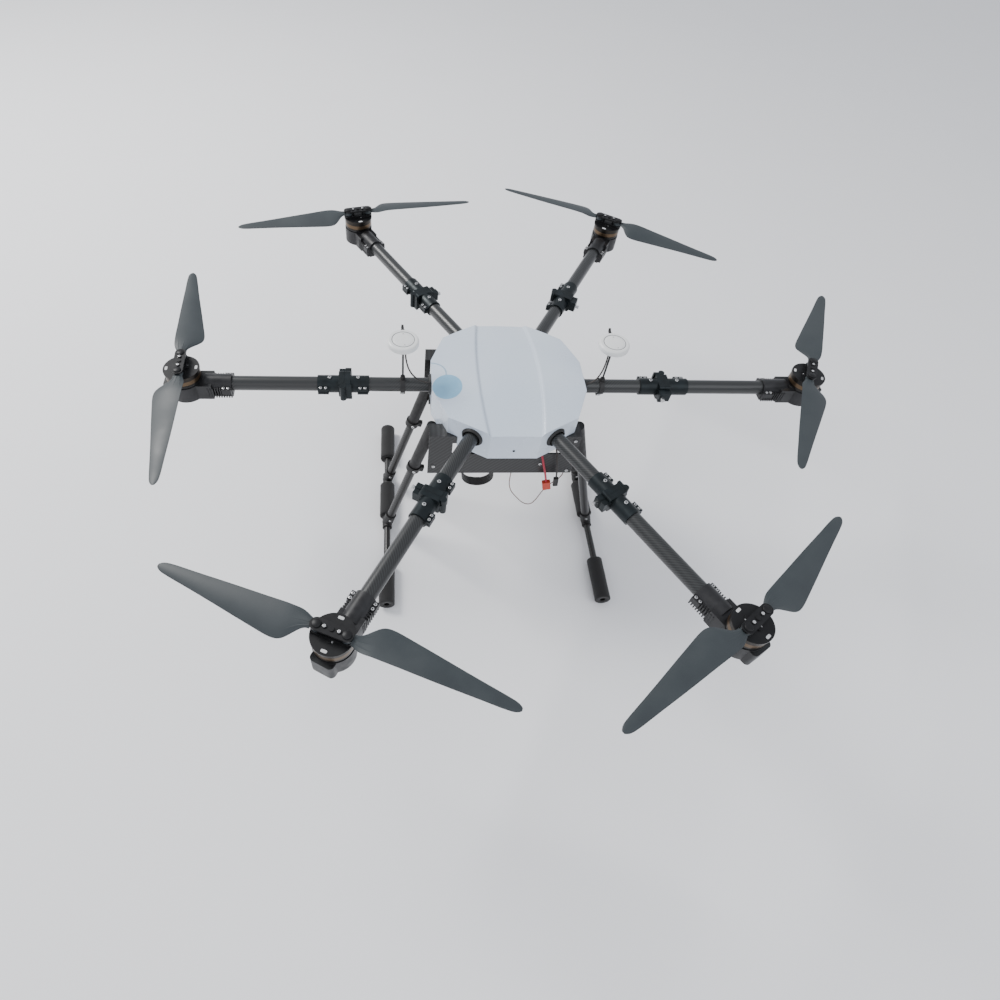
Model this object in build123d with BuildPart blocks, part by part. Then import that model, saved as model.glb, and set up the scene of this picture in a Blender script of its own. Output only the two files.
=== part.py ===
from build123d import *
import os
from math import atan2, cos, degrees, radians, sin, tan

# A folding six-arm multicopter, +Z up, millimetres. The origin is the middle of the
# hexagon of motors, on the underside of the battery tray, where a payload bolts on.

os.makedirs("parts", exist_ok=True)

# ---------------------------------------------------------------- driving dimensions
wheelbase = 1320.0
tube_diameter = 30.0
motor_diameter = 70.0
blade_reach = 298.6
skid_drop = 284.0
bay_height = 118.0

# ---------------------------------------------------------------- fits
running = 0.05
gap = 0.3

# ---------------------------------------------------------------- arms
arm_names = ["right", "back_right", "back_left", "left", "front_left", "front_right"]
arm_step = 360 / len(arm_names)
arm_reach = wheelbase / 2
tube_radius = tube_diameter / 2
tube_wall = 1.5
plate_thickness = 2.0
clamp_height = tube_diameter + 4
arm_z = bay_height + plate_thickness + clamp_height / 2
fold_split = 340.0
hinge_along = 343.0
hinge_across = 25.0
sleeve_radius = 18.2
sleeve_bore = tube_radius + running
lug_across = 20.1

# ---------------------------------------------------------------- motors and rotors
motor_radius = motor_diameter / 2
disc_top = arm_z + 41.0
blade_z = disc_top + 10.0
hinge_offset = 25.0
blade_root_radius = 9.0
blade_root_height = 8.0
pin_radius = 3.0
# The two blades of each rotor stand in these directions at rest, in degrees from +X.
blade_rest = {
    "right": (62.5, 244.2),
    "back_right": (151.8, 324.7),
    "back_left": (13.1, 197.1),
    "left": (95.4, 272.2),
    "front_left": (157.1, 335.5),
    "front_right": (40.2, 212.0),
}

# ---------------------------------------------------------------- body
cowl_low_z = arm_z - 44.0
cowl_edge_z = disc_top - 12.0
cowl_wall = 2.5
dome_rise = 14.0
dome_top = cowl_edge_z + dome_rise
cowl_half_width = 161.0
cowl_half_length = 165.0
sheet = 3.0
beam_y = 128.5
bay_left = -168.0
bay_right = 146.0
bay_middle = (bay_left + bay_right) / 2
bay_width = bay_right - bay_left
bracket_x = 142.5
ear_depth = 35.0
ear_middle = beam_y + sheet / 2 - ear_depth / 2

# ---------------------------------------------------------------- landing gear
skid_x = 257.0
strut_y = 68.0
lean = degrees(atan2(0.272, 1))
strut_radius = 10.0
skid_radius = 8.0
foam_radius = 19.0
skid_z = -skid_drop
skid_front = -296.0
skid_back = 248.0
foam_length = 110.0
tee_length = 32.0


def save(part, name):
    """Writes one finished piece under its own name."""
    part.label = name
    export_step(part, f"parts/{name}.step")


def arm_plane(angle):
    """The plane of an arm: x out along the tube's axis, y to its left, z up."""
    out = (cos(radians(angle)), sin(radians(angle)), 0)
    return Plane(origin=(0, 0, arm_z), x_dir=out, z_dir=(0, 0, 1))


def arm_section(angle, along):
    """A plane across an arm: x to its left, y up, facing out."""
    plane = arm_plane(angle)
    return Plane(origin=plane.from_local_coords((along, 0, 0)), x_dir=plane.y_dir, z_dir=plane.x_dir)


def spots(along, across, height):
    """Where the two screws of a clamping lug stand."""
    return [(s, across, height) for s in along]


# ================================================================= centre frame
corner_a = (51.0, cowl_half_length)
corner_b = (131.0, 118.8)
corner_c = (cowl_half_width, 43.0)
quarter = [corner_a, corner_b, corner_c]


def cowl_corners():
    """The twelve corners of the cowl's outline, anticlockwise from the right."""
    right_back = [(x, y) for x, y in reversed(quarter)]
    left_back = [(-x, y) for x, y in quarter]
    left_front = [(-x, -y) for x, y in reversed(quarter)]
    right_front = [(x, -y) for x, y in quarter]
    return right_back + left_back + left_front + right_front


def cowl_body(inset, drop):
    """The cowl's outer form, or with an inset and a drop the space inside it."""
    groove_depth = 6.0
    groove_low = 43.3
    groove_high = 77.6
    floor_radius = dome_radius - drop - groove_depth
    with BuildPart() as groove:
        with BuildSketch(Plane.XZ.offset(-cowl_half_length - 10)):
            with BuildLine():
                Polyline(
                    (-groove_low - inset, arm_z + 13),
                    (groove_low + inset, arm_z + 13),
                    (groove_high + inset, arm_z + 53),
                    (-groove_high - inset, arm_z + 53),
                    close=True,
                )
            make_face()
        extrude(amount=2 * cowl_half_length + 20)
        with Locations((0, 0, dome_top - dome_radius)):
            Sphere(floor_radius, mode=Mode.SUBTRACT)
    with BuildPart() as body:
        with BuildSketch(Plane.XY.offset(cowl_low_z - 2 * drop)):
            with BuildLine():
                Polyline(*cowl_corners(), close=True)
            make_face()
            if inset:
                offset(amount=-inset, kind=Kind.INTERSECTION, mode=Mode.REPLACE)
        extrude(amount=dome_top - cowl_low_z + 10)
        if not inset:
            fillet(body.edges().filter_by(Axis.Z), radius=3)
        with Locations((0, 0, dome_top - dome_radius)):
            Sphere(dome_radius - drop, mode=Mode.INTERSECT)
        add(groove.part, mode=Mode.SUBTRACT)
        if not inset:
            ridges = [
                edge
                for edge in body.edges()
                if edge.length > 1.6 * cowl_half_length and edge.bounding_box().min.Z > arm_z
            ]
            fillet(ridges, radius=6)
    return body.part


dome_radius = (cowl_half_length**2 + dome_rise**2) / (2 * dome_rise)
keyhole_radius = 19.6
cable_port = 2.4
port_y = -17.0
port_z = 158.0
cowl_space = cowl_body(cowl_wall, cowl_wall)

with BuildPart() as cowl:
    add(cowl_body(0, 0))
    add(cowl_space, mode=Mode.SUBTRACT)
    for number in range(len(arm_names)):
        with BuildSketch(arm_section(number * arm_step, 140)):
            Circle(keyhole_radius)
        extrude(amount=60, mode=Mode.SUBTRACT)
    with Locations((-cowl_half_width, port_y, port_z), (cowl_half_width, port_y, port_z)):
        Cylinder(cable_port, 20, rotation=(0, 90, 0), mode=Mode.SUBTRACT)
    # Notches for the ears of the lower plate and the bay under them.
    for side in (-1, 1):
        for end in (-1, 1):
            with Locations((side * 140, end * (ear_middle), cowl_low_z)):
                Box(80, ear_depth + 2 * gap, 2 * (bay_height + plate_thickness + gap - cowl_low_z),
                    mode=Mode.SUBTRACT)
save(cowl.part, "cowl")

grommet_flange = 23.0
grommet_face = {0: cowl_half_width, 1: 168.4}
with BuildPart() as grommets:
    for number in range(len(arm_names)):
        angle = number * arm_step
        face = grommet_face[1 if number % 3 else 0]
        with BuildSketch(arm_section(angle, face - cowl_wall - 3)):
            Circle(keyhole_radius - 0.2)
            Circle(sleeve_bore, mode=Mode.SUBTRACT)
        extrude(amount=cowl_wall + 3.2)
        with BuildSketch(arm_section(angle, face + 0.2)):
            Circle(grommet_flange)
            Circle(sleeve_bore, mode=Mode.SUBTRACT)
        extrude(amount=5, taper=35)
save(grommets.part, "arm_grommets")

# The two centre plates are carbon sheet. The lower one has ears that carry the bay.
root_clamp_along = 122.0
clamp_bolt_across = 18.5
bolt_radius = 2.0
bolt_hole = 2.15


def plate_outline(inset):
    """The cowl's outline drawn in by the given amount, as a sketch face."""
    with BuildSketch(Plane.XY) as flat:
        with BuildLine():
            Polyline(*cowl_corners(), close=True)
        make_face()
        offset(amount=-inset, kind=Kind.INTERSECTION, mode=Mode.REPLACE)
    return flat.sketch


clamp_bolts = [
    arm_plane(n * arm_step).from_local_coords((root_clamp_along + s, t, 0))
    for n in range(len(arm_names))
    for s in (-9, 9)
    for t in (-clamp_bolt_across, clamp_bolt_across)
]

with BuildPart() as centre_plates:
    for level in (arm_z - clamp_height / 2 - plate_thickness, arm_z + clamp_height / 2):
        with BuildSketch(Plane.XY.offset(level)):
            add(plate_outline(11))
            if level < arm_z:
                for side in (-1, 1):
                    with Locations((bay_middle, side * ear_middle)):
                        Rectangle(bay_width, ear_depth)
            with Locations(*[(v.X, v.Y) for v in clamp_bolts]):
                Circle(bolt_hole, mode=Mode.SUBTRACT)
            with PolarLocations(62, 6, start_angle=30):
                Circle(11, mode=Mode.SUBTRACT)
        extrude(amount=plate_thickness)
save(centre_plates.part, "centre_plates")

with BuildPart() as root_clamps:
    for number in range(len(arm_names)):
        with BuildSketch(arm_section(number * arm_step, root_clamp_along - 15)):
            Rectangle(46, clamp_height)
            Circle(sleeve_bore, mode=Mode.SUBTRACT)
        extrude(amount=30)
    with Locations(*[(v.X, v.Y, arm_z) for v in clamp_bolts]):
        Cylinder(bolt_hole, clamp_height + 2, mode=Mode.SUBTRACT)
save(root_clamps.part, "root_clamps")

with BuildPart() as frame_bolts:
    with Locations(*[(v.X, v.Y, arm_z) for v in clamp_bolts]):
        Cylinder(bolt_radius, clamp_height + 2 * plate_thickness)
    for side in (-1, 1):
        head_z = arm_z + side * (clamp_height / 2 + plate_thickness + 1)
        with Locations(*[(v.X, v.Y, head_z) for v in clamp_bolts]):
            Cylinder(3.5, 2)
save(frame_bolts.part, "frame_bolts")

# Electronics under the cowl.
with BuildPart() as power_board:
    with Locations((0, 0, arm_z - clamp_height / 2 + 4)):
        Cylinder(44, 3)
    with PolarLocations(36, 6):
        with Locations((0, 0, arm_z - clamp_height / 2 + 1.25)):
            Cylinder(3, 2.5)
    with PolarLocations(30, 12):
        with Locations((0, 0, arm_z - clamp_height / 2 + 7)):
            Box(6, 4, 3)
save(power_board.part, "power_board")

with BuildPart() as flight_controller:
    with BuildSketch(Plane.XY.offset(arm_z + clamp_height / 2 + plate_thickness)):
        RectangleRounded(58, 42, 4)
    extrude(amount=14)
    fillet(flight_controller.faces().sort_by(Axis.Z)[-1].edges(), radius=2)
    with Locations((0, 84, arm_z + clamp_height / 2 + plate_thickness + 4)):
        Box(40, 24, 8)
save(flight_controller.part, "flight_controller")

# ================================================================= battery bay
tray_half_width = 80.0
payload_x = 120.0
payload_y = 180.0
window = (70.0, 34.0)
window_z = 82.0
exit_x = 84.0
wire_clips = (16.0, 133.0)

with BuildPart() as bay_beams:
    for side in (-1, 1):
        with Locations((bay_middle, side * beam_y, bay_height / 2)):
            Box(bay_width, sheet, bay_height)
    with Locations((exit_x, -beam_y, window_z), (-exit_x, -beam_y, window_z)):
        Box(window[0], 2 * sheet, window[1], mode=Mode.SUBTRACT)
    with Locations((0, beam_y, bay_height / 2)):
        Box(180, 2 * sheet, 70, mode=Mode.SUBTRACT)
    with Locations(*[(x, 5 - beam_y, 4) for x in wire_clips]):
        Box(7, 7, 8)

bracket_inner = 45.0
with BuildPart() as leg_brackets:
    for side in (-1, 1):
        with BuildSketch(Plane.YZ.offset(side * bracket_x - sheet / 2)):
            for end in (-1, 1):
                with BuildLine():
                    Polyline(
                        (end * (beam_y - sheet / 2), 0),
                        (end * (beam_y - sheet / 2), bay_height),
                        (end * (ear_middle - ear_depth / 2 + 0.4), bay_height),
                        (end * (ear_middle - ear_depth / 2), cowl_low_z - 1),
                        (end * bracket_inner, 78),
                        (end * bracket_inner, 0),
                        close=True,
                    )
                make_face()
        extrude(amount=sheet)

with BuildPart() as battery_tray:
    with BuildSketch(Plane.XY):
        Rectangle(2 * tray_half_width, 2 * (beam_y - sheet / 2))
        with GridLocations(payload_x, payload_y, 2, 2):
            Circle(bolt_hole, mode=Mode.SUBTRACT)
        with GridLocations(0, 60, 1, 3):
            Rectangle(70, 26, mode=Mode.SUBTRACT)
    extrude(amount=sheet)
    with Locations((-tray_half_width + 2, 0, 9), (tray_half_width - 2, 0, 9)):
        Box(4, 2 * (beam_y - sheet / 2), 12)
save(Compound(children=[bay_beams.part, leg_brackets.part, battery_tray.part]), "battery_bay")

# The battery strap hangs in a slack loop below the front of the tray.
strap_width = 22.0
strap_half_span = 31.0
strap_x = -57.0
strap_sag = 52.0
strap_thickness = 2.0
with BuildPart() as battery_strap:
    with BuildSketch(Plane.XZ.offset(beam_y - 2.5)) as loop_face:
        with BuildLine():
            outer = ThreePointArc(
                (strap_x - strap_half_span, 0), (strap_x, -strap_sag), (strap_x + strap_half_span, 0)
            )
            Line(outer @ 1, (strap_x + strap_half_span - strap_thickness, 0))
            inner = ThreePointArc(
                (strap_x + strap_half_span - strap_thickness, 0),
                (strap_x, strap_thickness - strap_sag),
                (strap_x - strap_half_span + strap_thickness, 0),
            )
            Line(inner @ 1, outer @ 0)
        make_face()
    extrude(amount=-strap_width)
save(battery_strap.part, "battery_strap")

# ================================================================= arms, root side
inner_tube_start = 70.0
fold_face = 4.0
socket_depth = 322.0

with BuildPart() as inner_tubes:
    for number in range(len(arm_names)):
        with BuildSketch(arm_section(number * arm_step, inner_tube_start)):
            Circle(tube_radius)
            Circle(tube_radius - tube_wall, mode=Mode.SUBTRACT)
        extrude(amount=socket_depth - inner_tube_start)
save(inner_tubes.part, "inner_tubes")

block_half_height = 18.2
block_depth = 12.0
lobe_reach = 35.0
knuckle_radius = 6.5
knuckle_pin = 2.5
knuckle_height = 36.0
knuckle_third = knuckle_height / 3
lock_along = 333.5
lock_bore = 3.2


def clamp_lug(along, across, length):
    """The split-clamp lug beside a sleeve, with a slit and two screws, in the arm's own frame."""
    side = 1 if across > 0 else -1
    with BuildPart() as lug:
        with Locations((along, across, 0)):
            Box(length, 9, 13)
            Box(length + 2, 10, 1.6, mode=Mode.SUBTRACT)
        with Locations((along, across - side * 3.6, 0)):
            Box(length, 1.8, 13)
        with Locations(*spots((along - 5, along + 5), across, 7.6)):
            Cylinder(2.6, 2.4)
    return lug.part


def fold_half_inner(angle):
    """The half of the fold joint on the root side: sleeve, block, lobe and two knuckles."""
    plane = arm_plane(angle)
    with BuildPart(plane) as half:
        with BuildSketch(arm_section(angle, 290)):
            Circle(sleeve_radius)
            Circle(sleeve_bore, mode=Mode.SUBTRACT)
        extrude(amount=socket_depth - 290)
        with BuildSketch(arm_section(angle, fold_split - gap / 2 - block_depth)):
            RectangleRounded(44, 2 * block_half_height, 5)
        extrude(amount=block_depth)
        with BuildSketch(arm_section(angle, socket_depth)):
            Circle(sleeve_radius)
        extrude(amount=8)
        with Locations((lock_along, -28.5, 0)):
            Box(12.7, 14, 24)
        with Locations((fold_split - 8, 23, 0)):
            Box(14, 6, knuckle_height)
        for level in (-knuckle_third, knuckle_third):
            with Locations((hinge_along, hinge_across, level)):
                Cylinder(knuckle_radius, knuckle_third)
            with Locations((hinge_along - 5, hinge_across - 2, level)):
                Box(10, 4, knuckle_third)
        with Locations((hinge_along, hinge_across, 0)):
            Cylinder(knuckle_radius + gap, knuckle_third + gap, mode=Mode.SUBTRACT)
            Cylinder(knuckle_pin, knuckle_height)
        with BuildSketch(Plane(plane.from_local_coords((lock_along, -36, 0)), x_dir=plane.x_dir,
                               z_dir=plane.y_dir)):
            Circle(lock_bore)
        extrude(amount=16, mode=Mode.SUBTRACT)
        with Locations((312, 0, sleeve_radius)):
            Cylinder(3.2, 3.2)
        add(clamp_lug(302.5, lug_across, 22))
    return half.part


def fold_half_outer(angle):
    """The half of the fold joint that swings: block, catch, middle knuckle and sleeve."""
    plane = arm_plane(angle)
    with BuildPart(plane) as half:
        with BuildSketch(arm_section(angle, fold_split + gap / 2)):
            RectangleRounded(44, 2 * block_half_height, 5)
        extrude(amount=block_depth)
        with Locations((fold_split + gap / 2 + 6, -26, 0)):
            Box(12, 16, 22)
        with Locations((hinge_along, hinge_across, 0)):
            Cylinder(knuckle_radius + gap, knuckle_height + 2, mode=Mode.SUBTRACT)
        with Locations((hinge_along, hinge_across, 0)):
            Cylinder(knuckle_radius, knuckle_third - gap)
        with Locations((hinge_along + 5, hinge_across - 5, 0)):
            Box(7, 10, knuckle_third - gap)
        with Locations((hinge_along, hinge_across, 0)):
            Cylinder(knuckle_pin + running, knuckle_height, mode=Mode.SUBTRACT)
        with BuildSketch(arm_section(angle, fold_split + block_depth)):
            Circle(sleeve_radius)
        extrude(amount=6)
        with BuildSketch(arm_section(angle, fold_split + block_depth + 6)):
            Circle(sleeve_radius)
            Circle(sleeve_bore, mode=Mode.SUBTRACT)
        extrude(amount=395 - fold_split - block_depth - 6)
        with Locations((370, 0, sleeve_radius)):
            Cylinder(3.2, 3.2)
        add(clamp_lug(383, lug_across, 22))
    return half.part


fold_halves = [fold_half_inner(n * arm_step) for n in range(len(arm_names))]
save(Compound(children=fold_halves), "fold_halves_inner")

# ================================================================= arms, moving side
outer_tube_start = fold_split + block_depth + 6.2
mount_start = 567.0
mount_sleeve_end = 613.0
mount_sleeve_radius = 19.0
outer_tube_end = 618.0
base_top = disc_top - 25.0
can_drop = 24.0
stator_radius = 28.5
shaft_radius = 4.0
fin_pitch = 5.0
nose_reach = 700.0


def outer_tube(angle):
    """The carbon tube from the fold joint to the motor mount."""
    with BuildPart() as tube:
        with BuildSketch(arm_section(angle, outer_tube_start)):
            Circle(tube_radius)
            Circle(tube_radius - tube_wall, mode=Mode.SUBTRACT)
        extrude(amount=outer_tube_end - outer_tube_start)
    return tube.part


def motor_mount(angle):
    """Clamp sleeve with cooling fins, motor seat, speed controller and lamp nose in one."""
    plane = arm_plane(angle)
    seat_low = -24.0
    seat_top = base_top - 4 - arm_z
    with BuildPart(plane) as mount:
        with BuildSketch(arm_section(angle, mount_start)):
            Circle(mount_sleeve_radius)
            with Locations((0, -9)):
                Rectangle(2 * mount_sleeve_radius - 3, 24)
        extrude(amount=outer_tube_end + 2 - mount_start)
        for fin in range(10):
            with Locations((mount_start + 2 + fin * fin_pitch, 0, -7)):
                Box(2.2, 48, 24)
        with BuildSketch(Plane(plane.from_local_coords((0, 0, seat_low)), x_dir=plane.x_dir,
                               z_dir=plane.z_dir)):
            with Locations((arm_reach, 0)):
                Circle(motor_radius - 1)
            with Locations((arm_reach - 30, 0)):
                Rectangle(50, 46)
        extrude(amount=seat_top - seat_low)
        with Locations((nose_reach - 14, 0, (seat_low + seat_top) / 2 - 2)):
            Box(28, 42, seat_top - seat_low)
        fillet(
            mount.edges().filter_by(Axis.Z).group_by(Axis(plane.origin, plane.x_dir))[-1], radius=8
        )
        with BuildSketch(arm_section(angle, mount_start)):
            Circle(sleeve_bore)
        extrude(amount=outer_tube_end + 0.3 - mount_start, mode=Mode.SUBTRACT)
        with Locations((arm_reach, 0, base_top - arm_z - 2)):
            Cylinder(motor_radius - 3, 4)
        for side in (-1, 1):
            with Locations((mount_start + 10, side * 21, -2)):
                Box(18, 9.5, 12)
            with Locations(*spots((573, 582), side * 21, 5)):
                Cylinder(2.6, 2.4)
    return mount.part


def motor_stator(angle):
    """The wound core with its bearing, fixed to the mount under the turning can."""
    plane = arm_plane(angle)
    with BuildPart(plane) as stator:
        with Locations((arm_reach, 0, disc_top - 15 - arm_z)):
            Cylinder(stator_radius, 18)
        with Locations((arm_reach, 0, base_top - arm_z + 0.6)):
            Cylinder(12, 1.2)
        with Locations((arm_reach, 0, disc_top - 15 - arm_z)):
            Cylinder(shaft_radius + running, 40, mode=Mode.SUBTRACT)
    return stator.part


def rotor_plane(name):
    """The plane of a rotor at the top of its can, x along the line of its two hinges."""
    angle = arm_names.index(name) * arm_step
    first, second = blade_rest[name]
    line = (first + second - 180) / 2
    centre = arm_plane(angle).from_local_coords((arm_reach, 0, disc_top - arm_z))
    return Plane(origin=centre, x_dir=(cos(radians(line)), sin(radians(line)), 0), z_dir=(0, 0, 1))


def rotor(name):
    """Motor can with its shaft, and the clamp that holds the two folding blades."""
    with BuildPart(rotor_plane(name)) as hub:
        with Locations((0, 0, -2)):
            Cylinder(motor_radius, 4)
        with Locations((0, 0, -can_drop / 2 - 1)):
            Cylinder(motor_radius - 1.5, can_drop - 2)
        with Locations((0, 0, -can_drop / 2 - 3)):
            Cylinder(stator_radius + 2, can_drop - 2, mode=Mode.SUBTRACT)
        with Locations((0, 0, -13.35)):
            Cylinder(shaft_radius, 22.7)
        for level, thickness in ((2.75, 5.5), (16.25, 3.5)):
            with BuildSketch(rotor_plane(name).offset(level - thickness / 2)):
                SlotOverall(2 * (hinge_offset + 10.5), 21)
            extrude(amount=thickness)
        with Locations((0, 12, 1), (0, -12, 1), (0, 0, 19)):
            Cylinder(4, 2)
        with Locations((12, 0, 10), (-12, 0, 10)):
            Cylinder(2.5, 12)
        with Locations((hinge_offset, 0, 10), (-hinge_offset, 0, 10)):
            Cylinder(pin_radius, 12)
        with Locations((hinge_offset, 0, 19), (-hinge_offset, 0, 19), (12, 0, 19), (-12, 0, 19)):
            Cylinder(3.4, 2)
    return hub.part


# Blade sections from the hinge outwards: distance, leading edge, trailing edge, thickness,
# and how far the leading edge stands above the trailing one.
blade_sections = [
    (9.0, 9.0, -9.0, 5.6, 0.4),
    (18.0, 12.5, -11.0, 5.6, 1.6),
    (28.0, 15.5, -21.0, 5.4, 5.0),
    (42.0, 16.0, -35.5, 5.0, 10.0),
    (58.0, 15.8, -39.0, 4.6, 11.5),
    (80.0, 15.2, -36.5, 4.2, 10.5),
    (115.0, 14.5, -31.0, 3.8, 8.5),
    (170.0, 13.2, -22.0, 3.0, 5.5),
    (225.0, 11.5, -13.5, 2.4, 3.4),
    (257.0, 10.2, -8.5, 2.0, 2.2),
    (267.5, 8.0, -5.5, 1.6, 1.4),
    (blade_reach - hinge_offset, 3.8, -1.0, 1.0, 0.5),
]


def blade(name, which):
    """One folding blade. Neighbouring rotors turn opposite ways, so their blades mirror."""
    lead = -1 if arm_names.index(name) % 2 == 0 else 1
    toward = blade_rest[name][which]
    hub = rotor_plane(name)
    hinge = hub.from_local_coords(((hinge_offset, -hinge_offset)[which], 0, blade_z - disc_top))
    out = (cos(radians(toward)), sin(radians(toward)), 0)
    plane = Plane(origin=hinge, x_dir=out, z_dir=(0, 0, 1))
    with BuildPart(plane) as wing:
        for along, front, back, thickness, rise in blade_sections:
            at = plane.from_local_coords((along, 0, 0))
            with BuildSketch(Plane(origin=at, x_dir=plane.y_dir, z_dir=plane.x_dir)):
                with BuildLine():
                    nose = (lead * front, rise / 2)
                    tail = (lead * back, -rise / 2)
                    middle = lead * (front * 0.62 + back * 0.38)
                    slope = rise * (0.62 - 0.5)
                    ThreePointArc(nose, (middle, slope + thickness * 0.62), tail)
                    ThreePointArc(tail, (middle, slope - thickness * 0.38), nose)
                make_face()
        loft()
        Cylinder(blade_root_radius, blade_root_height)
        Cylinder(pin_radius + running, blade_root_height + 8, mode=Mode.SUBTRACT)
    return wing.part


def lock_pin(angle):
    """The spring pin that locks the fold, with a knurled head outside the lobe."""
    plane = arm_plane(angle)
    start = plane.from_local_coords((lock_along, -24, 0))
    outward = plane.y_dir * -1
    with BuildPart() as pin:
        with BuildSketch(Plane(origin=start, x_dir=plane.x_dir, z_dir=outward)):
            Circle(lock_bore - 0.1)
        extrude(amount=16)
        with BuildSketch(Plane(origin=start + outward * 16, x_dir=plane.x_dir, z_dir=outward)):
            RegularPolygon(4.2, 12)
        extrude(amount=4)
    return pin.part


for number, name in enumerate(arm_names):
    angle = number * arm_step
    save(Compound(children=[fold_half_outer(angle), outer_tube(angle)]), f"outer_arm_{name}")
    save(Compound(children=[motor_mount(angle), motor_stator(angle)]), f"motor_mount_{name}")
    save(rotor(name), f"rotor_{name}")
    save(blade(name, 0), f"blade_a_{name}")
    save(blade(name, 1), f"blade_b_{name}")
    save(lock_pin(angle), f"lock_pin_{name}")

# ================================================================= landing gear
strut_up = (sin(radians(lean)), 0, cos(radians(lean)))


def strut_plane(side, y, height):
    """A plane across a leg at a height, facing up along it. side is -1 on the left."""
    x = side * (skid_x - (height + skid_drop) * tan(radians(lean)))
    return Plane(origin=(x, y, height), x_dir=(0, 1, 0), z_dir=(-side * strut_up[0], 0, strut_up[2]))


socket_low = -62.0
socket_high = 84.0
tube_top = 30.0
leg_spots = [(side, y) for side in (-1, 1) for y in (-strut_y, strut_y)]

with BuildPart() as leg_sockets:
    for side, y in leg_spots:
        length = (socket_high - socket_low) / strut_up[2]
        with BuildSketch(strut_plane(side, y, socket_low)):
            Circle(13)
        extrude(amount=length)
        with BuildSketch(strut_plane(side, y, socket_low)):
            Circle(16)
            with Locations((0, side * 17)):
                Rectangle(10, 12)
        extrude(amount=14)
        with Locations((side * (bracket_x + sheet / 2 + 8), y, 46)):
            Box(16, 34, 44)
        with BuildSketch(strut_plane(side, y, socket_low)):
            Circle(strut_radius + running)
        extrude(amount=(tube_top + 0.5 - socket_low) / strut_up[2], mode=Mode.SUBTRACT)
save(leg_sockets.part, "leg_sockets")

with BuildPart() as leg_tubes:
    for side, y in leg_spots:
        with BuildSketch(strut_plane(side, y, skid_z + 13)):
            Circle(strut_radius)
            Circle(strut_radius - 1.5, mode=Mode.SUBTRACT)
        extrude(amount=(tube_top - skid_z - 13) / strut_up[2])

with BuildPart() as skid_tees:
    for side, y in leg_spots:
        with Locations((side * skid_x, y, skid_z)):
            Cylinder(12, tee_length, rotation=(90, 0, 0))
        with BuildSketch(strut_plane(side, y, skid_z)):
            Circle(13)
        extrude(amount=38)
        with BuildSketch(strut_plane(side, y, skid_z + 13 - running)):
            Circle(strut_radius + running)
        extrude(amount=40, mode=Mode.SUBTRACT)
        with Locations((side * skid_x, y, skid_z)):
            Cylinder(skid_radius + running, 60, rotation=(90, 0, 0), mode=Mode.SUBTRACT)
save(skid_tees.part, "skid_tees")

with BuildPart() as skid_tubes:
    for side in (-1, 1):
        with BuildSketch(Plane.XZ.offset(-skid_back + 1)):
            with Locations((side * skid_x, skid_z)):
                Circle(skid_radius)
                Circle(skid_radius - 1.2, mode=Mode.SUBTRACT)
        extrude(amount=skid_back - skid_front - 2)
save(Compound(children=[leg_tubes.part, skid_tubes.part]), "landing_tubes")

foam_middle = 2 * (strut_y - tee_length / 2 - 3)
foam_spans = (
    (skid_front, foam_length),
    (-foam_middle / 2, foam_middle),
    (skid_back - foam_length, foam_length),
)
with BuildPart() as foam_sleeves:
    for side in (-1, 1):
        for start, span in foam_spans:
            with BuildSketch(Plane.XZ.offset(-start - span)):
                with Locations((side * skid_x, skid_z)):
                    Circle(foam_radius)
                    Circle(skid_radius + running, mode=Mode.SUBTRACT)
            extrude(amount=span)
save(foam_sleeves.part, "foam_sleeves")

# ================================================================= satellite receivers
mast_spots = [(-220.0, "left"), (205.0, "right")]
puck_low = disc_top + 68.0
puck_radius = 31.5
puck_height = 13.5
mast_radius = 2.0

with BuildPart() as gps_masts:
    for x, side in mast_spots:
        with BuildSketch(Plane.YZ.offset(x - 5)):
            with Locations((0, arm_z)):
                Circle(tube_radius + 2.5)
            with Locations((0, arm_z - 19)):
                Rectangle(9, 10)
            with Locations((0, arm_z)):
                Circle(sleeve_bore, mode=Mode.SUBTRACT)
        extrude(amount=10)
        with Locations((x, 0, arm_z + 20)):
            Cylinder(5, 8)
        with Locations((x, 0, (arm_z + 20 + puck_low) / 2)):
            Cylinder(mast_radius, puck_low - arm_z - 20)
        with Locations((x, 0, arm_z)):
            Cylinder(sleeve_bore, 12, rotation=(0, 90, 0), mode=Mode.SUBTRACT)
save(gps_masts.part, "gps_masts")

with BuildPart() as gps_pucks:
    for x, side in mast_spots:
        with Locations((x, 0, puck_low + puck_height / 2)):
            Cylinder(puck_radius, puck_height)
    fillet(gps_pucks.faces().sort_by(Axis.Z)[-2:].edges(), radius=5)
    fillet(gps_pucks.faces().sort_by(Axis.Z)[:2].edges(), radius=4)
save(gps_pucks.part, "gps_pucks")

# ================================================================= free leads


def corner_radii(points):
    """The largest tangent arc at each inner point: 0.45 of the shorter run over tan(half turn)."""
    radii = []
    for before, at, after in zip(points, points[1:], points[2:]):
        into = Vector(*at) - Vector(*before)
        away = Vector(*after) - Vector(*at)
        turn = radians(into.get_angle(away))
        radii.append(0.45 * min(into.length, away.length) / tan(turn / 2))
    return radii


def lead(name, points, diameter):
    """A free lead as a round tube along straight runs joined by tangent arcs."""
    radii = corner_radii(points)
    print(name, "arc radii", [round(r, 1) for r in radii])
    with BuildLine() as route:
        FilletPolyline(*points, radius=radii)
    path = route.wires()[0]
    start = Plane(origin=path @ 0, z_dir=path % 0)
    with BuildPart() as tube:
        with BuildSketch(start):
            Circle(diameter / 2)
        sweep(path=path)
    ideal = path.length * 3.14159265 * diameter**2 / 4
    print(name, "length", round(path.length, 1), "volume share", round(tube.part.volume / ideal, 4))
    save(tube.part, name)


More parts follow.
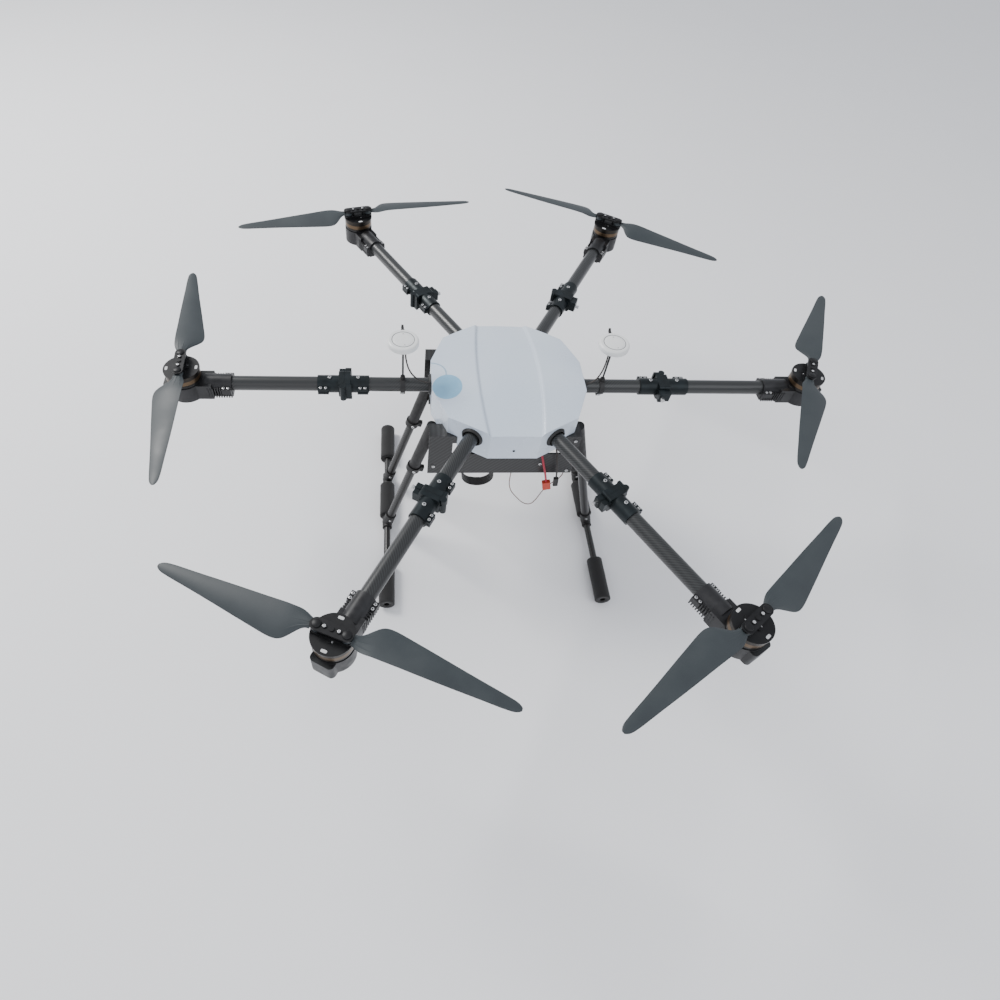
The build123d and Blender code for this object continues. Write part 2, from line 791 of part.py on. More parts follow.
cable_diameter = 3.2
puck_exit = 8.0
gps_left = [
    (-215.5, 0.0, 246.0),
    (-215.5, 0.0, 224.0),
    (-213.0, -4.0, 202.0),
    (-206.0, -9.5, 182.0),
    (-193.0, -14.0, 168.0),
    (-177.0, -16.8, 160.0),
    (-158.0, -17.0, 158.0),
]
gps_right = [
    (200.5, 0.0, 246.0),
    (200.5, 0.0, 224.5),
    (199.0, -4.5, 203.5),
    (194.0, -10.0, 184.5),
    (185.5, -14.5, 169.5),
    (172.0, -16.8, 160.0),
    (156.0, -17.0, 158.0),
]
lead("gps_cable_left", gps_left, cable_diameter)
lead("gps_cable_right", gps_right, cable_diameter)

plug_z = -6.0
power_route = [
    (62.0, -112.0, 118.0),
    (62.0, -112.0, 100.0),
    (65.0, -130.0, 85.0),
    (70.0, -144.0, 69.0),
    (75.0, -149.5, 50.0),
    (81.0, -150.5, 30.0),
    (86.5, -150.0, 10.0),
    (90.0, -149.5, plug_z),
]
lead("power_lead", power_route, 4.6)
balance_route = [
    (97.0, -112.0, 118.0),
    (97.0, -112.0, 101.0),
    (99.0, -129.0, 85.0),
    (101.5, -142.0, 68.0),
    (104.5, -147.5, 48.0),
    (108.0, -149.0, 27.0),
    (110.0, -149.5, 6.0),
]
lead("balance_lead", balance_route, 3.6)
signal_route = [
    (16.0, -123.5, 0.0),
    (16.0, -123.5, -26.0),
    (18.0, -122.5, -53.0),
    (26.0, -121.5, -80.0),
    (43.0, -121.0, -105.0),
    (61.0, -121.5, -128.0),
    (80.0, -122.0, -132.0),
    (90.0, -122.5, -108.0),
    (97.0, -123.0, -78.0),
    (110.0, -123.0, -50.0),
    (133.0, -123.5, -24.0),
    (133.0, -123.5, 0.0),
]
lead("signal_wire", signal_route, 2.0)


def plug(name, route, width, depth, length):
    """The connector at the loose end of a lead, square to its last run."""
    end = Vector(*route[-1])
    away = (end - Vector(*route[-2])).normalized()
    with BuildPart() as body:
        with BuildSketch(Plane(origin=end, x_dir=(1, 0, -away.X / away.Z), z_dir=away)):
            RectangleRounded(width, depth, 2)
        extrude(amount=length)
    save(body.part, name)


plug("power_plug", power_route, 18, 9, 26)
plug("balance_plug", balance_route, 11, 7, 24)
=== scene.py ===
import math

import bmesh
import bpy
from mathutils import Matrix, Vector


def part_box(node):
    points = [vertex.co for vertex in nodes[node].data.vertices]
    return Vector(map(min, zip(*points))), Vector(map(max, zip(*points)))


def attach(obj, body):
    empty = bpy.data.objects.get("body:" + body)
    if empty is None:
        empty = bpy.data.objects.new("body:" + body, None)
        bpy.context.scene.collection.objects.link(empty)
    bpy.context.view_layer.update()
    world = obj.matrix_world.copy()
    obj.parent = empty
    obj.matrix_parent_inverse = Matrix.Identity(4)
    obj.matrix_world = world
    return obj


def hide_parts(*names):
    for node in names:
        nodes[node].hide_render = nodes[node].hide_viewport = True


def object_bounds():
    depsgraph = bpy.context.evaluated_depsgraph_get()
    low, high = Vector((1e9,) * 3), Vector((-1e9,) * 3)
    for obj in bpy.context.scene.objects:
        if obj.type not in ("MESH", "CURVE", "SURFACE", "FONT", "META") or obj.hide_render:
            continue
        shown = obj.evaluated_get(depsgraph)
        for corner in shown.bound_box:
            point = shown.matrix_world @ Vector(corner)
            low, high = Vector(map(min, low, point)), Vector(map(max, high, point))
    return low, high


# Looks of the folding six-arm multicopter. Metres, in the CAD's own frame: +Z up, the origin
# on the underside of the battery tray in the middle of the hexagon of motors.

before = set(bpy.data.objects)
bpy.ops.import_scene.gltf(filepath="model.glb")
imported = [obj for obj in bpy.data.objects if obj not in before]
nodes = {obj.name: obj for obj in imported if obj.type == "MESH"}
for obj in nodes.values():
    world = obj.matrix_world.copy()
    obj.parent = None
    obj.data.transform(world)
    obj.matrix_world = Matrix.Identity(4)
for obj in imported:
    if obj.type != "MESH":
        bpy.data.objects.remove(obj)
cad_low, cad_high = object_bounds()
scene = bpy.context.scene

ARMS = ["right", "back_right", "back_left", "left", "front_left", "front_right"]
BLADE_REST = {
    "right": (62.5, 244.2),
    "back_right": (151.8, 324.7),
    "back_left": (13.1, 197.1),
    "left": (95.4, 272.2),
    "front_left": (157.1, 335.5),
    "front_right": (40.2, 212.0),
}
ARM_Z = 0.137
DISC_Z = 0.178
ARM_REACH = 0.660
HINGE_OFFSET = 0.025
BLADE_Z = 0.188
FLOOR_Z = cad_low.z
MASTS_X = (-0.220, 0.205)
RECEIVER_LEADS_X = (-0.2155, 0.2005)
BEAM_FACE_Y = 0.1299


# ------------------------------------------------------------------ camera
def make_camera():
    """The camera stands in front of the aircraft, a little to its left, looking down at it."""
    data = bpy.data.cameras.new("camera")
    camera = bpy.data.objects.new("camera", data)
    scene.collection.objects.link(camera)
    right = Vector((0.9958, -0.0593, 0.0703))
    back = Vector((-0.0919, -0.6168, 0.7817)).normalized()
    up = back.cross(right).normalized()
    right = up.cross(back).normalized()
    turn = Matrix((right, up, back)).transposed().to_4x4()
    camera.matrix_world = Matrix.Translation((-0.2353, -0.9887, 1.1116)) @ turn
    data.sensor_width = 36
    data.lens = 23.53
    data.shift_x = 0.044
    data.shift_y = -0.0337
    data.clip_start = 0.01
    data.clip_end = 60
    scene.camera = camera


make_camera()


# ------------------------------------------------------------------ places
def arm_frame(name):
    """Row-frame matrix of an arm: x out along its tube, y to its left, z up."""
    turn = Matrix.Rotation(math.radians(60 * ARMS.index(name)), 4, "Z")
    return Matrix.Translation((0, 0, ARM_Z)) @ turn


def hub_frame(name):
    """Row-frame matrix of a rotor at the top of its can, x along the line of its hinges."""
    first, second = BLADE_REST[name]
    centre = arm_frame(name) @ Vector((ARM_REACH, 0, DISC_Z - ARM_Z))
    turn = Matrix.Rotation(math.radians((first + second - 180) / 2), 4, "Z")
    return Matrix.Translation(centre) @ turn


def blade_frame(name, which):
    """Row-frame matrix of a blade at its hinge, x out along the blade."""
    side = (HINGE_OFFSET, -HINGE_OFFSET)[which]
    hinge = hub_frame(name) @ Vector((side, 0, BLADE_Z - DISC_Z))
    turn = Matrix.Rotation(math.radians(BLADE_REST[name][which]), 4, "Z")
    return Matrix.Translation(hinge) @ turn


def facing(point, direction, across=Vector((0, 0, 1))):
    """A matrix at a point with z along a direction."""
    z = Vector(direction).normalized()
    x = across.cross(z)
    if x.length < 1e-4:
        x = Vector((1, 0, 0)).cross(z)
    x.normalize()
    turn = Matrix((x, z.cross(x), z)).transposed().to_4x4()
    return Matrix.Translation(point) @ turn


# ------------------------------------------------------------------ materials
class Paint:
    """A procedural material under construction, with one method for each kind of node."""

    def __init__(self, name, roughness=0.5, metallic=0.0, coat=0.0, coat_roughness=0.1, sheen=0.0):
        self.material = bpy.data.materials.new(name)
        self.material.use_nodes = True
        self.tree = self.material.node_tree
        self.surface = self.tree.nodes["Principled BSDF"]
        self.surface.inputs["Roughness"].default_value = roughness
        self.surface.inputs["Metallic"].default_value = metallic
        self.surface.inputs["Coat Weight"].default_value = coat
        self.surface.inputs["Coat Roughness"].default_value = coat_roughness
        self.surface.inputs["Sheen Weight"].default_value = sheen
        self.place = self.node("ShaderNodeTexCoord").outputs["Object"]

    def node(self, kind, inputs=None, **settings):
        made = self.tree.nodes.new(kind)
        for key, value in settings.items():
            setattr(made, key, value)
        for key, value in (inputs or {}).items():
            if isinstance(value, bpy.types.NodeSocket):
                self.tree.links.new(value, made.inputs[key])
            else:
                made.inputs[key].default_value = value
        return made

    def sum(self, operation, first, second=0.0, third=0.0):
        made = self.node("ShaderNodeMath", {0: first, 1: second, 2: third}, operation=operation)
        return made.outputs[0]

    def parts(self, vector):
        return self.node("ShaderNodeSeparateXYZ", {0: vector}).outputs

    def noise(self, scale, detail=4.0, roughness=0.55, vector=None):
        inputs = {"Vector": vector or self.place, "Scale": scale, "Detail": detail, "Roughness": roughness}
        return self.node("ShaderNodeTexNoise", inputs).outputs["Fac"]

    def between(self, fac, low, high, start=0.0, end=1.0):
        inputs = {"Value": fac, "From Min": start, "From Max": end, "To Min": low, "To Max": high}
        return self.node("ShaderNodeMapRange", inputs).outputs["Result"]

    def mix(self, fac, first, second):
        made = self.node("ShaderNodeMix", data_type="RGBA")
        for socket, value in ((made.inputs[0], fac), (made.inputs[6], first), (made.inputs[7], second)):
            if isinstance(value, bpy.types.NodeSocket):
                self.tree.links.new(value, socket)
            elif isinstance(value, (int, float)):
                socket.default_value = value
            else:
                socket.default_value = (*value, 1.0)
        return made.outputs[2]

    def colour(self, socket):
        self.tree.links.new(socket, self.surface.inputs["Base Color"])

    def rough(self, socket):
        self.tree.links.new(socket, self.surface.inputs["Roughness"])

    def bump(self, height, strength=0.3, distance=0.0005, edge=0.0):
        inputs = {"Height": height, "Strength": strength, "Distance": distance}
        made = self.node("ShaderNodeBump", inputs)
        if edge:
            rounded = self.node("ShaderNodeBevel", {"Radius": edge}, samples=4)
            self.tree.links.new(rounded.outputs[0], made.inputs["Normal"])
        self.tree.links.new(made.outputs[0], self.surface.inputs["Normal"])

    def arm_space(self):
        """Distance out along the nearest arm, and distance round that arm's tube, in metres."""
        x, y, z = self.parts(self.place)
        heading = self.sum("ARCTAN2", y, x)
        turns = self.sum("ROUND", self.sum("DIVIDE", heading, math.pi / 3))
        angle = self.sum("MULTIPLY", turns, math.pi / 3)
        cosine = self.sum("COSINE", angle)
        sine = self.sum("SINE", angle)
        along = self.sum("ADD", self.sum("MULTIPLY", x, cosine), self.sum("MULTIPLY", y, sine))
        across = self.sum("SUBTRACT", self.sum("MULTIPLY", y, cosine), self.sum("MULTIPLY", x, sine))
        height = self.sum("SUBTRACT", z, ARM_Z)
        around = self.sum("MULTIPLY", self.sum("ARCTAN2", across, height), 0.0153)
        return along, around

    def twill(self, first, second, tow):
        """1 where the tow along the first direction is on top in a two-by-two twill, else 0."""
        step_first = self.sum("FLOOR", self.sum("DIVIDE", first, tow))
        step_second = self.sum("FLOOR", self.sum("DIVIDE", second, tow))
        step = self.sum("FLOORED_MODULO", self.sum("SUBTRACT", step_first, step_second), 4.0)
        return self.sum("LESS_THAN", step, 1.5)


def plain(name, dark, light, low, high, scale=40, grain=600, bump=0.12, edge=0.0004, **shader):
    """A moulded or anodised surface: cloudy colour, uneven gloss, fine grain and eased edges."""
    paint = Paint(name, **shader)
    cloud = paint.noise(scale, 5)
    paint.colour(paint.mix(paint.between(cloud, 0, 1, 0.3, 0.7), dark, light))
    paint.rough(paint.between(paint.noise(scale * 2.3, 4), low, high, 0.3, 0.7))
    paint.bump(paint.noise(grain, 2), bump, 0.0002, edge)
    return paint.material


def carbon_tube_paint():
    """Woven carbon tube under satin lacquer, with the twill running round each arm."""
    paint = Paint("carbon_tube", roughness=0.3, coat=0.25, coat_roughness=0.25)
    along, around = paint.arm_space()
    top = paint.twill(along, around, 0.0016)
    cloud = paint.noise(30, 3)
    cloth = paint.mix(top, (0.005, 0.006, 0.006), (0.024, 0.026, 0.027))
    paint.colour(paint.mix(paint.between(cloud, 0.0, 0.35), cloth, (0.011, 0.011, 0.010)))
    paint.rough(paint.between(top, 0.42, 0.30))
    paint.bump(top, 0.25, 0.00012)
    return paint.material


def leg_tube_paint():
    """The same cloth on the legs and skids, laid along their own lengths."""
    paint = Paint("carbon_leg", roughness=0.3, coat=0.25, coat_roughness=0.25)
    x, y, z = paint.parts(paint.place)
    lengthways = paint.sum("ADD", z, y)
    sideways = paint.sum("ADD", x, paint.sum("MULTIPLY", y, 0.35))
    top = paint.twill(lengthways, sideways, 0.0016)
    cloud = paint.noise(25, 3)
    cloth = paint.mix(top, (0.005, 0.005, 0.005), (0.016, 0.016, 0.016))
    paint.colour(paint.mix(paint.between(cloud, 0.0, 0.4), cloth, (0.013, 0.010, 0.009)))
    paint.rough(paint.between(top, 0.45, 0.33))
    paint.bump(top, 0.2, 0.0001)
    return paint.material


def carbon_sheet_paint():
    """Flat carbon sheet in a coarser twill, lacquered."""
    paint = Paint("carbon_sheet", roughness=0.3, coat=0.2, coat_roughness=0.3)
    x, y, z = paint.parts(paint.place)
    top = paint.twill(paint.sum("ADD", x, y), paint.sum("ADD", z, paint.sum("MULTIPLY", y, 1.0)), 0.0026)
    cloud = paint.noise(18, 3)
    cloth = paint.mix(top, (0.003, 0.003, 0.003), (0.012, 0.012, 0.013))
    paint.colour(paint.mix(paint.between(cloud, 0.0, 0.3), cloth, (0.007, 0.007, 0.007)))
    paint.rough(paint.between(top, 0.5, 0.36))
    paint.bump(top, 0.2, 0.0001, 0.0003)
    return paint.material


def cowl_paint():
    """Pale blue-white gloss shell, with a plain round blue patch and its thin tail."""
    paint = Paint("cowl_shell", roughness=0.25, coat=0.5, coat_roughness=0.12)
    x, y, z = paint.parts(paint.place)
    cloud = paint.noise(4, 2)
    base = paint.mix(paint.between(cloud, 0, 1, 0.35, 0.65), (0.56, 0.64, 0.74), (0.62, 0.69, 0.77))
    dx = paint.sum("DIVIDE", paint.sum("SUBTRACT", x, -0.130), 0.0305)
    dy = paint.sum("DIVIDE", paint.sum("SUBTRACT", y, -0.039), 0.0335)
    away = paint.sum("SQRT", paint.sum("ADD", paint.sum("MULTIPLY", dx, dx), paint.sum("MULTIPLY", dy, dy)))
    upward = paint.parts(paint.node("ShaderNodeNewGeometry").outputs["Normal"])[2]
    on_top = paint.sum("GREATER_THAN", upward, 0.5)
    disc = paint.sum("MULTIPLY", paint.sum("LESS_THAN", away, 1.0), on_top)
    tx = paint.sum("SUBTRACT", x, -0.166)
    ty = paint.sum("SUBTRACT", y, -0.001)
    ring = paint.sum("SQRT", paint.sum("ADD", paint.sum("MULTIPLY", tx, tx), paint.sum("MULTIPLY", ty, ty)))
    line = paint.sum("LESS_THAN", paint.sum("ABSOLUTE", paint.sum("SUBTRACT", ring, 0.0355)), 0.0016)
    upper = paint.sum("GREATER_THAN", y, -0.008)
    tail = paint.sum("MULTIPLY", paint.sum("MULTIPLY", line, upper), on_top)
    patch_cloud = paint.between(paint.noise(60, 3), 0, 1, 0.3, 0.7)
    patch = paint.mix(patch_cloud, (0.20, 0.42, 0.60), (0.24, 0.46, 0.63))
    with_tail = paint.mix(tail, base, (0.30, 0.42, 0.53))
    paint.colour(paint.mix(disc, with_tail, patch))
    paint.rough(paint.between(paint.noise(14, 4), 0.22, 0.32, 0.3, 0.7))
    paint.bump(paint.noise(9, 2), 0.08, 0.002, 0.0012)
    return paint.material


def blade_paint():
    """Matte slate carbon-nylon with a faint cloud, uneven dullness and fine pale specks."""
    paint = Paint("blade_polymer", roughness=0.5)
    cloud = paint.noise(14, 5)
    speck = paint.noise(900, 2)
    base = paint.mix(paint.between(cloud, 0, 1, 0.3, 0.7), (0.022, 0.029, 0.033), (0.034, 0.042, 0.046))
    paint.colour(paint.mix(paint.between(speck, 0, 0.25, 0.5, 0.8), base, (0.06, 0.065, 0.07)))
    paint.rough(paint.between(cloud, 0.42, 0.56, 0.3, 0.7))
    paint.bump(speck, 0.15, 0.0001, 0.0004)
    return paint.material


def foam_paint():
    """Black closed-cell foam: fine pores and soft dents."""
    paint = Paint("foam_rubber", roughness=0.85, sheen=0.15)
    pores = paint.node("ShaderNodeTexVoronoi", {"Vector": paint.place, "Scale": 900.0}).outputs["Distance"]
    cloud = paint.noise(30, 4)
    shade = paint.between(cloud, 0, 1, 0.3, 0.7)
    paint.colour(paint.mix(shade, (0.006, 0.006, 0.006), (0.014, 0.013, 0.013)))
    paint.rough(paint.between(cloud, 0.75, 0.92, 0.3, 0.7))
    height = paint.sum("ADD", paint.sum("MULTIPLY", pores, 0.5), paint.noise(60, 3))
    paint.bump(height, 0.35, 0.0006)
    return paint.material


def webbing_paint():
    """Woven strap: ribs across and a herringbone along."""
    paint = Paint("strap_webbing", roughness=0.9, sheen=0.3)
    x, y, z = paint.parts(paint.place)
    ribs = paint.sum("SINE", paint.sum("MULTIPLY", paint.sum("ADD", x, z), 3600.0))
    rows = paint.sum("SINE", paint.sum("MULTIPLY", y, 3000.0))
    weave = paint.sum("MULTIPLY", ribs, rows)
    paint.colour(paint.mix(paint.between(weave, 0, 1, -1, 1), (0.010, 0.010, 0.010), (0.030, 0.029, 0.028)))
    paint.bump(weave, 0.5, 0.0004)
    return paint.material


def can_paint():
    """Motor can: bronze-black anodising with turned rings that catch the light."""
    paint = Paint("motor_can", roughness=0.3, metallic=0.85)
    x, y, z = paint.parts(paint.place)
    rings = paint.sum("SINE", paint.sum("MULTIPLY", z, 2400.0))
    cloud = paint.noise(30, 4)
    shade = paint.mix(paint.between(cloud, 0, 1, 0.3, 0.7), (0.018, 0.017, 0.016), (0.045, 0.038, 0.032))
    band = paint.sum("LESS_THAN", paint.sum("ABSOLUTE", paint.sum("SUBTRACT", z, 0.1625)), 0.0045)
    paint.colour(paint.mix(paint.sum("MULTIPLY", band, 0.65), shade, (0.16, 0.105, 0.06)))
    paint.rough(paint.between(cloud, 0.26, 0.42, 0.3, 0.7))
    paint.bump(rings, 0.15, 0.00015, 0.0004)
    return paint.material


def controller_paint():
    """Dark housing of the motor mount and its speed controller, with an uneven half gloss."""
    paint = Paint("speed_controller", roughness=0.45, metallic=0.3)
    cloud = paint.noise(45, 4)
    shade = paint.between(cloud, 0, 1, 0.3, 0.7)
    paint.colour(paint.mix(shade, (0.010, 0.010, 0.011), (0.024, 0.024, 0.026)))
    paint.rough(paint.between(paint.noise(90, 4), 0.32, 0.5, 0.3, 0.7))
    paint.bump(paint.noise(500, 2), 0.15, 0.0002, 0.0006)
    return paint.material


def board_paint():
    """Green circuit board with lighter tracks."""
    paint = Paint("circuit_board", roughness=0.4, coat=0.2)
    tracks = paint.node("ShaderNodeTexBrick", {"Vector": paint.place, "Scale": 90.0, "Mortar Size": 0.03})
    paint.colour(paint.mix(tracks.outputs["Fac"], (0.010, 0.060, 0.028), (0.030, 0.140, 0.060)))
    paint.bump(paint.noise(300, 3), 0.2, 0.0003)
    return paint.material


def marked_white(name):
    """White moulding with a very slight cream cloud and eased edges."""
    return plain(name, (0.74, 0.75, 0.74), (0.82, 0.82, 0.81), 0.25, 0.4, scale=20, grain=400,
                 bump=0.05, edge=0.0006, coat=0.2)


paints = {
    "cowl": cowl_paint(),
    "carbon_tube": carbon_tube_paint(),
    "carbon_leg": leg_tube_paint(),
    "carbon_sheet": carbon_sheet_paint(),
    "fold": plain("fold_anodised", (0.005, 0.008, 0.009), (0.012, 0.018, 0.021), 0.32, 0.46, metallic=0.55),
    "clamp": plain("black_anodised", (0.004, 0.004, 0.005), (0.011, 0.011, 0.012), 0.38, 0.52, metallic=0.4),
    "moulded": plain("moulded_black", (0.006, 0.006, 0.006), (0.014, 0.013, 0.013), 0.45, 0.62),
    "rubber": plain(
        "soft_rubber", (0.004, 0.004, 0.004), (0.010, 0.010, 0.010),
        0.5, 0.7, grain=300, bump=0.2,
    ),
    "steel": plain(
        "bright_steel", (0.50, 0.50, 0.50), (0.70, 0.70, 0.70),
        0.2, 0.35, metallic=0.9, edge=0.0002,
    ),
    "white": marked_white("white_plastic"),
    "ring": plain("dark_ring", (0.05, 0.06, 0.07), (0.08, 0.09, 0.10), 0.4, 0.5),
    "mark": plain("pale_mark", (0.55, 0.55, 0.55), (0.68, 0.68, 0.68), 0.5, 0.6),
    "can": can_paint(),
    "controller": controller_paint(),
    "blade": blade_paint(),
    "foam": foam_paint(),
    "webbing": webbing_paint(),
    "board": board_paint(),
    "case": plain("controller_case", (0.02, 0.02, 0.022), (0.035, 0.035, 0.038), 0.4, 0.55),
    # The leads are black; the brown-black lift of their colour is painted highlight.
    "black_cable_painted_highlight": plain(
        "black_insulation", (0.010, 0.008, 0.007), (0.030, 0.022, 0.018),
        0.45, 0.6, grain=900,
    ),
    "red_cable": plain("red_insulation", (0.33, 0.014, 0.034), (0.44, 0.026, 0.055), 0.4, 0.55, grain=900),
    "brown_cable": plain(
        "brown_insulation", (0.075, 0.018, 0.011), (0.14, 0.036, 0.020),
        0.45, 0.6, grain=900,
    ),
    "orange": plain("orange_plug", (0.46, 0.038, 0.016), (0.56, 0.058, 0.026), 0.35, 0.5),
    "black_plug": plain("black_plug", (0.012, 0.012, 0.012), (0.022, 0.022, 0.022), 0.4, 0.55),
    # Painted shade: stands for the depth of the sensor hole in the cowl.
    "dark": plain("painted_hole_shade", (0.006, 0.006, 0.007), (0.012, 0.012, 0.013), 0.8, 0.9),
    "lamp": plain("smoked_lamp", (0.006, 0.007, 0.008), (0.012, 0.014, 0.016), 0.38, 0.5),
}

NODE_PAINTS = {
    "cowl": "cowl", "arm_grommets": "rubber", "centre_plates": "carbon_sheet", "root_clamps": "clamp",
    "frame_bolts": "steel", "power_board": "board", "flight_controller": "case",
    "battery_bay": "carbon_sheet", "inner_tubes": "carbon_tube", "fold_halves_inner": "fold",
    "leg_sockets": "moulded", "landing_tubes": "carbon_leg", "skid_tees": "moulded",
    "gps_masts": "moulded", "gps_pucks": "white", "power_plug": "orange", "balance_plug": "black_plug",
}
ARM_PAINTS = {
    "outer_arm": "fold", "motor_mount": "controller", "rotor": "can", "blade_a": "blade",
    "blade_b": "blade", "lock_pin": "steel",
}


def dress(node, paint):
    """Gives a CAD node its material."""
    nodes[node].data.materials.clear()
    nodes[node].data.materials.append(paints[paint])


for node, paint in NODE_PAINTS.items():
    dress(node, paint)
for arm in ARMS:
    for kind, paint in ARM_PAINTS.items():
        dress(f"{kind}_{arm}", paint)


# ------------------------------------------------------------------ free leads
def cable(name, points, diameter, paint, replaced, length, far_end, exit_point=None, **facts):
    """A free lead: one smooth spline through the room of its CAD tube."""
    curve = bpy.data.curves.new(name, "CURVE")
    curve.dimensions = "3D"
    curve.bevel_depth = diameter / 2
    curve.bevel_resolution = 5
    curve.resolution_u = 16
    curve.use_fill_caps = True
    spline = curve.splines.new("NURBS")
    spline.points.add(len(points) - 1)
    for point, place in zip(spline.points, points):
        point.co = (*place, 1.0)
    spline.order_u = 3
    spline.use_endpoint_u = True
    piece = bpy.data.objects.new(name, curve)
    scene.collection.objects.link(piece)
    curve.materials.append(paints[paint])
    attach(piece, "airframe")
    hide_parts(replaced)
    return piece


cable(
    "receiver_lead_left",
    [
        (-0.2155, 0.0, 0.2460),
        (-0.2155, 0.0, 0.2240),
        (-0.2130, -0.0040, 0.2020),
        (-0.2060, -0.0095, 0.1820),
        (-0.1930, -0.0140, 0.1680),
        (-0.1770, -0.0168, 0.1600),
        (-0.1580, -0.0170, 0.1580),
    ],
    0.0032, "black_cable_painted_highlight", "gps_cable_left", 0.1225, "object", stiffness="medium", lay="hanging",
)
cable(
    "receiver_lead_right",
    [
        (0.2005, 0.0, 0.2460),
        (0.2005, 0.0, 0.2245),
        (0.1990, -0.0045, 0.2035),
        (0.1940, -0.0100, 0.1845),
        (0.1855, -0.0145, 0.1695),
        (0.1720, -0.0168, 0.1600),
        (0.1560, -0.0170, 0.1580),
    ],
    0.0032, "black_cable_painted_highlight", "gps_cable_right", 0.1133, "object", stiffness="medium", lay="hanging",
)
cable(
    "power_wire",
    [
        (0.0620, -0.1120, 0.1180),
        (0.0620, -0.1120, 0.1000),
        (0.0650, -0.1300, 0.0850),
        (0.0700, -0.1440, 0.0690),
        (0.0750, -0.1495, 0.0500),
        (0.0810, -0.1505, 0.0300),
        (0.0865, -0.1500, 0.0100),
        (0.0900, -0.1495, -0.0060),
    ],
    0.0046, "red_cable", "power_lead", 0.140, "plug", stiffness="limp", lay="hanging",
    with_pieces=[nodes["power_plug"]],
)
cable(
    "balance_wire",
    [
        (0.0970, -0.1120, 0.1180),
        (0.0970, -0.1120, 0.1010),
        (0.0990, -0.1290, 0.0850),
        (0.1015, -0.1420, 0.0680),
        (0.1045, -0.1475, 0.0480),
        (0.1080, -0.1490, 0.0270),
        (0.1100, -0.1495, 0.0060),
    ],
    0.0036, "black_cable_painted_highlight", "balance_lead", 0.124, "plug", stiffness="limp", lay="hanging",
    with_pieces=[nodes["balance_plug"]],
)
cable(
    "signal_loop",
    [
        (0.0160, -0.1235, 0.0000),
        (0.0160, -0.1235, -0.0260),
        (0.0180, -0.1225, -0.0530),
        (0.0260, -0.1215, -0.0800),
        (0.0430, -0.1210, -0.1050),
        (0.0610, -0.1215, -0.1280),
        (0.0800, -0.1220, -0.1320),
        (0.0900, -0.1225, -0.1080),
        (0.0970, -0.1230, -0.0780),
        (0.1100, -0.1230, -0.0500),
        (0.1330, -0.1235, -0.0240),
        (0.1330, -0.1235, 0.0000),
    ],
    0.0020, "brown_cable", "signal_wire", 0.301, "object", stiffness="limp", lay="hanging",
)


# ------------------------------------------------------------------ mesh helpers
def piece(name, body, bm, paint, slot=None, soft_angle=40):
    """Turns a bmesh into a shaded piece that rides on a body."""
    bmesh.ops.recalc_face_normals(bm, faces=bm.faces)
    mesh = bpy.data.meshes.new(name)
    bm.to_mesh(mesh)
    bm.free()
    made = bpy.data.objects.new(name, mesh)
    scene.collection.objects.link(made)
    mesh.materials.append(paints[paint])
    mesh.shade_smooth()
    mesh.set_sharp_from_angle(angle=math.radians(soft_angle))
    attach(made, body)
    return made


def lathe(bm, place, profile, segments=32, hexed=0):
    """Turns a (radius, height) profile about z. The first hexed rings are six-sided sockets."""
    rings = []
    for number, (radius, height) in enumerate(profile):
        if radius == 0:
            rings.append([bm.verts.new(place @ Vector((0, 0, height)))])
            continue
        ring = []
        for k in range(segments):
            angle = 2 * math.pi * k / segments
            reach = radius
            if number < hexed:
                reach = radius * 0.87 / math.cos(angle % (math.pi / 3) - math.pi / 6)
            spot = Vector((reach * math.cos(angle), reach * math.sin(angle), height))
            ring.append(bm.verts.new(place @ spot))
        rings.append(ring)
    for low, high in zip(rings, rings[1:]):
        for k in range(segments):
            j = (k + 1) % segments
            corners = [low[k % len(low)], high[k % len(high)], high[j % len(high)], low[j % len(low)]]
            unique = [v for n, v in enumerate(corners) if v not in corners[:n]]
            if len(unique) > 2:
                bm.faces.new(unique)


def cap_screw(bm, place, radius, height):
    """A socket-head screw standing on its place, with a hexagon socket."""
    profile = [
        (0, height * 0.35), (radius * 0.52, height * 0.35), (radius * 0.52, height),
        (radius * 0.82, height), (radius * 0.96, height * 0.93), (radius, height * 0.78),
        (radius, 0), (0, 0),
    ]
    lathe(bm, place, profile, segments=24, hexed=3)


def screws(name, body, places, paint="steel", slot="bright_steel"):
    """Several screws on one body. Each is (matrix, radius, height)."""
    bm = bmesh.new()
    for place, radius, height in places:
        cap_screw(bm, place, radius, height)
    return piece(name, body, bm, paint, slot)


def rod(bm, start, end, first, last, segments=12):
    """A tapering round rod between two points."""
    start = Vector(start)
    run = Vector(end) - start
    lathe(bm, facing(start, run), [(0, 0), (first, 0), (last, run.length), (0, run.length)], segments)


def at(place, x, y, z):
    """The place moved by x, y, z of its own."""
    return place @ Matrix.Translation((x, y, z))


# ------------------------------------------------------------------ faces that differ within a node
def repaint(node, paint, test):
    """Gives the faces of a CAD node that pass a test on their centre another material."""
    mesh = nodes[node].data
    mesh.materials.append(paints[paint])
    for face in mesh.polygons:
        if test(face.center):
            face.material_index = len(mesh.materials) - 1


for arm in ARMS:
    inverse = arm_frame(arm).inverted()
    repaint(f"outer_arm_{arm}", "carbon_tube", lambda c, m=inverse: (m @ c).x > 0.3952)
    repaint(f"rotor_{arm}", "clamp", lambda c: c.z > DISC_Z - 0.0005)
    repaint(f"motor_mount_{arm}", "lamp", lambda c, m=inverse: (m @ c).x > 0.6945)


